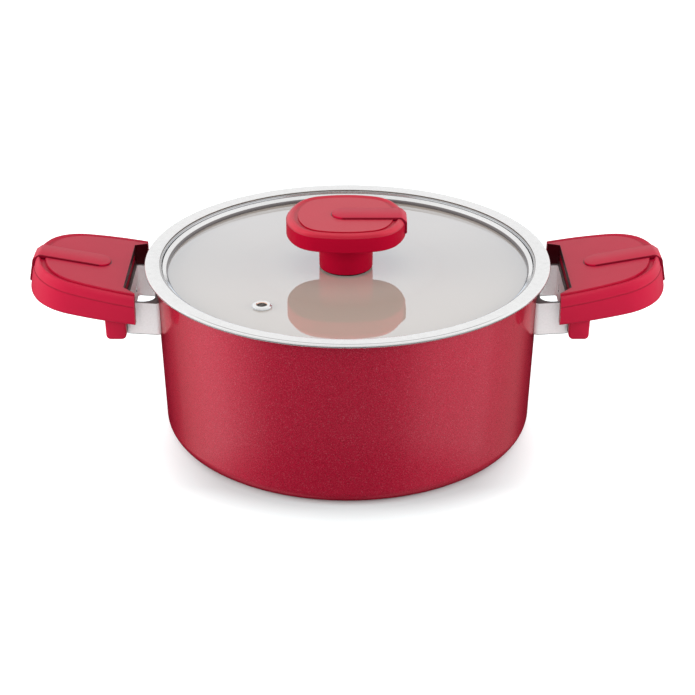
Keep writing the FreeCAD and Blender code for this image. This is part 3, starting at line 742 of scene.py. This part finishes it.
def stepIn(steps, fixedX, reach):
    # the selected top face is inset and lifted or let down step by step, and drawn in further at its ends
    doneIn, doneEnd, doneUp = 0.0, 0.0, 0.0
    for into, endIn, up in steps:
        bpy.ops.mesh.inset(thickness=(into - doneIn) * mm, depth=(up - doneUp) * mm)
        narrow = (reach - endIn) / (reach - doneEnd)
        bpy.ops.transform.resize(value=(narrow, 1, 1), center_override=(fixedX * mm, 0, 0))
        doneIn, doneEnd, doneUp = into, endIn, up


def gripShell():
    piece = gripOutline("rightGrip")
    faceUp(piece)
    pull(0, 0, -grip["depth"] - grip["spare"])
    pick(piece, "FACE", lambda c, n: n.z > 0.9)
    reach = grip["tip"] - grip["startX"]
    stepIn(grip["border"], grip["startX"], reach)
    slope = math.tan(math.radians(grip["underFall"]))
    bpy.ops.mesh.select_all(action="SELECT")
    bpy.ops.mesh.bisect(plane_co=(0, 0, -grip["depth"] * mm), plane_no=(slope, 0, 1), use_fill=True,
                        clear_inner=True)
    low = [-grip["depth"] - slope * x for x in (0, 1)]

    def onUnderside(p):
        return abs(p.z - (low[0] + (low[1] - low[0]) * p.x)) < touch

    bevelEdges(piece, grip["edgeR"], 4, lambda a, b: onUnderside(a) and onUnderside(b)
               and max(a.x, b.x) > grip["startX"] + touch)
    tidyMesh()
    bpy.ops.transform.rotate(value=math.radians(grip["tilt"]), orient_axis="Y", center_override=(0, 0, 0))
    bpy.ops.transform.translate(value=(grip["x"] * mm, 0, grip["z"] * mm))
    bpy.ops.object.mode_set(mode="OBJECT")
    return piece


def prism(name, points, low, high):
    # a plan outline of (x, y) points pulled up into a block
    piece = startPoint(name, points[0][0], points[0][1], low)
    for i in range(1, len(points)):
        lineBy(points[i][0] - points[i - 1][0], points[i][1] - points[i - 1][1], 0)
    fill()
    pull(0, 0, high - low)
    bpy.ops.object.mode_set(mode="OBJECT")
    return piece


def makeGrip():
    piece = gripShell()
    wide = beyond["y"]
    carve(piece, cutBox((beyond["trimX"], -wide, beyond["trimLow"]), (grip["innerEnd"], wide, beyond["trimHigh"])))
    notch = grip["notchHalf"]
    ear = grip["earHalf"]
    carve(piece, prism("notch", [(grip["panelEdge"], -notch), (grip["panelEdge"], notch), (grip["innerEnd"], ear),
                                 (beyond["notchX"], ear), (beyond["notchX"], -ear), (grip["innerEnd"], -ear)],
                       beyond["notchLow"], beyond["notchHigh"]))
    deep = grip["z"] + (block["near"] - grip["x"]) * math.tan(math.radians(grip["tilt"]))
    lug = drawSide("lug", [(block["near"], deep, 0), (block["near"], block["lowZ"], block["edgeR"]),
                           (block["far"] - block["taper"], block["lowZ"], block["edgeR"]), (block["far"], deep, 0)],
                   depth=-block["half"])
    fill()
    pull(0, 2 * block["half"], 0)
    bevelEdges(lug, block["endR"], 3, lambda a, b: abs(abs(a.y) - block["half"]) < touch
               and abs(a.y - b.y) < touch and min(a.z, b.z) < deep - 0.1)
    bpy.ops.object.mode_set(mode="OBJECT")
    carve(piece, lug, "UNION")
    clear = strap["clear"]
    carve(piece, cutBox((beyond["slotX"], -strap["half"] - clear, 0),
                        (strap["reach"] + clear, strap["half"] + clear, strap["top"] + clear)))
    pocketTop = grip["z"] + grip["panelUp"] - grip["pocketRoof"]
    carve(piece, cutBox((beyond["slotX"], -grip["pocketHalf"], pocketTop - grip["pocketHigh"]),
                        (grip["panelEdge"] + grip["pocketDeep"], grip["pocketHalf"], pocketTop)))
    return piece


def makeStrip(name, startX, panelZ, endX, endZ, shoulder):
    # a band let into the panel that runs over the end and down its wall
    topZ = panelZ + strip["proud"]
    lowZ = panelZ - strip["sink"]
    farX = endX + strip["wrap"]
    nearX = endX - strip["sink"]
    outer = shoulder * strip["outerBend"]
    inner = shoulder * strip["innerBend"]
    corners = [(startX, topZ, 0), (farX - shoulder, topZ, outer), (farX, topZ - shoulder, outer),
               (farX, endZ, strip["endR"]), (nearX, endZ, 0), (nearX, lowZ - shoulder, inner),
               (nearX - shoulder, lowZ, inner), (startX, lowZ, 0)]
    piece = drawSide(name, corners, depth=-strip["half"], steps=strip["roundSteps"])
    fill()
    pull(0, 2 * strip["half"], 0)
    bevelEdges(piece, strip["half"] - 0.1, strip["roundSteps"], lambda a, b: abs(a.x - startX) < touch
               and abs(b.x - startX) < touch and abs(a.z - b.z) > 1)
    tidyMesh()
    bpy.ops.object.mode_set(mode="OBJECT")
    softenEdges(piece, strip["edgeR"], 2, strip["edgeFrom"])
    return piece


def softenEdges(piece, width, segments, degrees):
    activate(piece)
    modifier = piece.modifiers.new("soften", "BEVEL")
    modifier.width = width * mm
    modifier.segments = segments
    modifier.limit_method = "ANGLE"
    modifier.angle_limit = math.radians(degrees)
    bpy.ops.object.modifier_apply(modifier=modifier.name)


def makeGripStrip():
    piece = makeStrip("rightGripStrip", strip["gripStart"], grip["panelUp"], grip["tip"], -strip["gripEnd"],
                      strip["gripShoulder"])
    edit(piece)
    bpy.ops.mesh.select_all(action="SELECT")
    bpy.ops.transform.rotate(value=math.radians(grip["tilt"]), orient_axis="Y", center_override=(0, 0, 0))
    bpy.ops.transform.translate(value=(grip["x"] * mm, 0, grip["z"] * mm))
    bpy.ops.object.mode_set(mode="OBJECT")
    return piece


rightGrip = makeGrip()
leftGrip = turnedCopy(rightGrip, "leftGrip")
finished(rightGrip, "pot", "right_grip", redGrip)
finished(leftGrip, "pot", "left_grip", redGrip)
rightStrip = makeGripStrip()
leftStrip = turnedCopy(rightStrip, "leftGripStrip")
finished(rightStrip, "pot", "right_grip_strip", redStrip)
finished(leftStrip, "pot", "left_grip_strip", redStrip)
print("grips ready")


# lid knob: pillow-shaped head on a round foot
knob = {"x": -0.8, "halfX": 31.7, "halfY": 28.9, "sideR": 59.0, "endR": 37.0, "cornerR": 18.0, "foot": 109.05,
        "wall": 8.1, "edgeR": 0.8, "panelUp": 2.3, "stemFoot": 89.95, "stemLow": 14.2, "stemTop": 14.6,
        "stemEdge": 1.0, "stemOver": 0.5, "sideSteps": 8, "cornerSteps": 14, "endSteps": 12, "stemSteps": 96,
        "border": [(0.3, 0, 0.03), (0.4, 0.05, 0.3), (0.55, 0.25, 1.0), (0.8, 0.6, 1.75), (1.1, 1.1, 2.3),
                   (1.45, 1.55, 2.57), (1.75, 1.68, 2.6), (2.05, 1.72, 2.35), (2.5, 1.76, 1.75), (2.95, 1.8, 1.5),
                   (4.45, 1.75, 1.5), (4.55, 1.75, 2.15), (4.7, 1.75, 2.3)]}


def knobOutline(name, z):
    sideCentre = Vector((0, knob["halfY"] - knob["sideR"]))
    endCentre = Vector((knob["halfX"] - knob["endR"], 0))
    corner = touchingCircle(sideCentre, knob["sideR"], endCentre, knob["endR"], knob["cornerR"])
    sideTo = bearing(corner - sideCentre)
    endTo = bearing(corner - endCentre)
    piece = startPoint(name, 0, knob["halfY"], z)
    up = (0, 0, 1)
    halfSide, atCorner, atEnd = knob["sideSteps"], knob["cornerSteps"], knob["endSteps"]
    turns = [(0, sideCentre.y, sideTo - 90, halfSide), (corner.x, corner.y, endTo - sideTo, atCorner),
             (endCentre.x, 0, -2 * endTo, atEnd), (corner.x, -corner.y, endTo - sideTo, atCorner),
             (0, -sideCentre.y, 2 * sideTo - 180, 2 * halfSide), (-corner.x, -corner.y, endTo - sideTo, atCorner),
             (-endCentre.x, 0, -2 * endTo, atEnd), (-corner.x, corner.y, endTo - sideTo, atCorner),
             (0, sideCentre.y, sideTo - 90, halfSide)]
    for x, y, degrees, steps in turns:
        arcBy((x, y, z), up, degrees, steps)
    closeLoop(weld["close"])
    return piece


def makeKnobHead():
    crease = knob["foot"] + knob["wall"]
    piece = knobOutline("knobHead", crease)
    faceUp(piece)
    pull(0, 0, -knob["wall"])
    pick(piece, "FACE", lambda c, n: n.z > 0.9)
    stepIn(knob["border"], 0, knob["halfX"])
    bevelEdges(piece, knob["edgeR"], 5, lambda a, b: abs(a.z - knob["foot"]) < touch
               and abs(b.z - knob["foot"]) < touch)
    tidyMesh()
    bpy.ops.transform.translate(value=(knob["x"] * mm, 0, 0))
    bpy.ops.object.mode_set(mode="OBJECT")
    finished(piece, "lid", "knob_head", redKnob)


def makeKnobStem():
    top = knob["foot"] + knob["stemOver"]
    piece = drawSide("knobStem", [(0, knob["stemFoot"], 0), (knob["stemLow"], knob["stemFoot"], knob["stemEdge"]),
                                  (knob["stemTop"], top, 0), (0, top, 0)])
    openAtAxis(piece)
    spinAbout(knob["stemSteps"])
    bpy.ops.transform.translate(value=(knob["x"] * mm, 0, 0))
    bpy.ops.object.mode_set(mode="OBJECT")
    finished(piece, "lid", "knob_stem", redKnob)


def makeKnobStrip():
    panel = knob["foot"] + knob["wall"] + knob["panelUp"]
    piece = makeStrip("knobStrip", strip["knobStart"], panel, knob["halfX"], panel - strip["knobDrop"],
                      strip["knobShoulder"])
    edit(piece)
    bpy.ops.mesh.select_all(action="SELECT")
    bpy.ops.transform.translate(value=(knob["x"] * mm, 0, 0))
    bpy.ops.object.mode_set(mode="OBJECT")
    finished(piece, "lid", "knob_strip", redStrip)


makeKnobHead()
makeKnobStem()
makeKnobStrip()
print("knob ready")


# steam vent: rolled eyelet through the pane
def makeVent():
    low = vent["paneLow"] - vent["washer"]
    tube = vent["bore"] + vent["tube"]
    curl = low - vent["curlHigh"]
    top = vent["paneTop"] + vent["high"]
    corners = [(vent["bore"], curl, vent["foldR"]), (vent["curlR"], curl, vent["foldR"]),
               (vent["curlR"], low, vent["foldR"]), (tube, low, 0), (tube, vent["paneTop"], 0),
               (vent["flange"], vent["paneTop"], vent["flangeR"]), (vent["flange"], top, vent["crownR"]),
               (vent["bore"], top, vent["boreR"])]
    piece = drawSide("ventEyelet", corners, steps=vent["arcSteps"])
    spinAbout(vent["steps"])
    angle = math.radians(vent["angle"])
    bpy.ops.transform.translate(value=(vent["r"] * math.cos(angle) * mm, vent["r"] * math.sin(angle) * mm, 0))
    bpy.ops.object.mode_set(mode="OBJECT")
    finished(piece, "lid", "vent_eyelet", eyeletSteel)


makeVent()
print("vent ready")


# studio: floor, soft lamps, surroundings and camera, in metres
studio = {"floorSize": 6.0, "floorTone": 0.80, "lessRed": 0.88, "floorGlow": 0.02, "farGlow": 0.75,
          "shadow": (0.102, 0.145), "behind": 0.08, "drawOut": 0.45, "ambient": 0.62, "aim": 0.05,
          "skyline": (-0.36, -0.15), "sky": (0.75, 1.0), "skyAcross": (-0.3, 0.3), "ground": 0.3,
          "groundLine": (-0.585, -0.55),
          "top": (0.0, -0.25, 1.5, 1.3, 3.0), "front": (0.0, -1.6, 0.9, 1.0, 9.5),
          "left": (-1.3, -0.2, 0.38, 0.7, 13.0), "right": (1.3, -0.2, 0.38, 0.7, 10.8),
          "room": [(0.09, 0.01), (0.15, 0.4), (0.205, 0.8), (0.25, 0.95), (0.29, 0.8), (0.345, 0.4), (0.395, 0.14),
                   (0.5, 0.14), (0.575, 0.24), (0.62, 0.52), (0.67, 0.7), (0.71, 0.7), (0.75, 0.68), (0.79, 0.48),
                   (0.85, 0.45), (0.91, 0.02)]}


def makeFloor():
    # a matte floor that seems to glow to plain white outside the soft shadow round the pot; near the pot the glow is
    # held back, so the darker floor there is the real shadow together with painted shade
    deselectAll()
    bpy.ops.mesh.primitive_plane_add(size=studio["floorSize"])
    floor = bpy.context.active_object
    floor.name = "floor"
    material = bpy.data.materials.new("floorPale")
    material.use_nodes = True
    tree = material.node_tree
    tree.nodes.clear()
    out = add(tree, "ShaderNodeOutputMaterial")
    place = objectPlace(tree)
    soft = spread(tree, noise(tree, place, 3, 2.0), studio["floorTone"] - 0.005, studio["floorTone"] + 0.005)
    matte = add(tree, "ShaderNodeBsdfDiffuse")
    joined = add(tree, "ShaderNodeCombineXYZ")
    for level, socket in zip((maths(tree, "MULTIPLY", soft, studio["lessRed"]), soft, soft), joined.inputs):
        tree.links.new(level, socket)
    tree.links.new(joined.outputs[0], matte.inputs["Color"])
    glow = add(tree, "ShaderNodeEmission")
    ray = add(tree, "ShaderNodeLightPath")
    x, y, z = apart(tree, place)
    # painted shade: the glow fades near the pot, and reaches further out behind it
    behind = maths(tree, "MAXIMUM", maths(tree, "ADD", y, studio["behind"]), 0.0)
    away = maths(tree, "ADD", length(tree, x, y), maths(tree, "MULTIPLY", behind, studio["drawOut"]))
    glowing = spread(tree, away, studio["floorGlow"], studio["farGlow"], *studio["shadow"])
    tree.links.new(maths(tree, "MULTIPLY", ray.outputs["Is Camera Ray"], glowing), glow.inputs["Strength"])
    both = add(tree, "ShaderNodeAddShader")
    tree.links.new(matte.outputs[0], both.inputs[0])
    tree.links.new(glow.outputs[0], both.inputs[1])
    tree.links.new(both.outputs[0], out.inputs["Surface"])
    floor.data.materials.append(material)
    floor.visible_glossy = False


def softLamp(name, x, y, z, size, power):
    lamp = bpy.data.lights.new(name, "AREA")
    lamp.shape = "SQUARE"
    lamp.size = size
    lamp.energy = power
    holder = bpy.data.objects.new(name, lamp)
    bpy.context.scene.collection.objects.link(holder)
    holder.location = (x, y, z)
    holder.rotation_euler = (Vector((0, 0, studio["aim"])) - holder.location).to_track_quat("-Z", "Y").to_euler()
    holder.visible_glossy = False


def makeWorld():
    # plain ambient light; a mirror-like surface sees a bright sky, and below the skyline a room that goes from
    # light to dark with the bearing
    world = bpy.data.worlds.new("studio")
    bpy.context.scene.world = world
    world.use_nodes = True
    tree = world.node_tree
    tree.nodes.clear()
    out = add(tree, "ShaderNodeOutputWorld")
    ray = add(tree, "ShaderNodeLightPath")
    x, y, z = apart(tree, add(tree, "ShaderNodeTexCoord").outputs["Generated"])
    # from the far side on the left (0) through the camera's side (0.5) to the far side on the right (1)
    around = maths(tree, "ARCTAN2", x, maths(tree, "MULTIPLY", y, -1.0))
    ramp = add(tree, "ShaderNodeFloatCurve")
    curve = ramp.mapping.curves[0]
    curve.points[0].location = (0, 0.0)
    curve.points[1].location = (1, 0.0)
    for place, level in studio["room"]:
        curve.points.new(place, level)
    ramp.mapping.update()
    tree.links.new(spread(tree, around, 0, 1, -math.pi, math.pi), ramp.inputs["Value"])
    lifted = add(tree, "ShaderNodeMix", data_type="FLOAT")
    tree.links.new(spread(tree, z, 0, 1, *studio["skyline"]), lifted.inputs[0])
    low = spread(tree, z, studio["ground"], 1, *studio["groundLine"])
    tree.links.new(maths(tree, "MULTIPLY", ramp.outputs[0], low), lifted.inputs[2])
    tree.links.new(spread(tree, y, *studio["sky"], *studio["skyAcross"]), lifted.inputs[3])
    clear = maths(tree, "MAXIMUM", ray.outputs["Is Camera Ray"], ray.outputs["Is Transmission Ray"])
    level = add(tree, "ShaderNodeMix", data_type="FLOAT")
    tree.links.new(ray.outputs["Is Glossy Ray"], level.inputs[0])
    level.inputs[2].default_value = studio["ambient"]
    tree.links.new(lifted.outputs[0], level.inputs[3])
    strength = add(tree, "ShaderNodeMix", data_type="FLOAT")
    tree.links.new(clear, strength.inputs[0])
    tree.links.new(level.outputs[0], strength.inputs[2])
    strength.inputs[3].default_value = 1.0
    back = add(tree, "ShaderNodeBackground")
    back.inputs["Color"].default_value = (1, 1, 1, 1)
    tree.links.new(strength.outputs[0], back.inputs["Strength"])
    tree.links.new(back.outputs[0], out.inputs["Surface"])


makeFloor()
for name in ("top", "front", "left", "right"):
    softLamp(name + "Softbox", *studio[name])
makeWorld()

view = {"elevation": 26.14, "distance": 0.9701, "lookZ": 0.04103, "lens": 91.74, "sensor": 36.0}
cameraData = bpy.data.cameras.new("camera")
cameraData.lens = view["lens"]
cameraData.sensor_width = view["sensor"]
camera = bpy.data.objects.new("camera", cameraData)
bpy.context.scene.collection.objects.link(camera)
tilt = math.radians(view["elevation"])
camera.location = (0, -view["distance"] * math.cos(tilt), view["lookZ"] + view["distance"] * math.sin(tilt))
camera.rotation_euler = (math.pi / 2 - tilt, 0, 0)
bpy.context.scene.camera = camera
bpy.context.scene.view_settings.view_transform = "Standard"
print("studio ready")
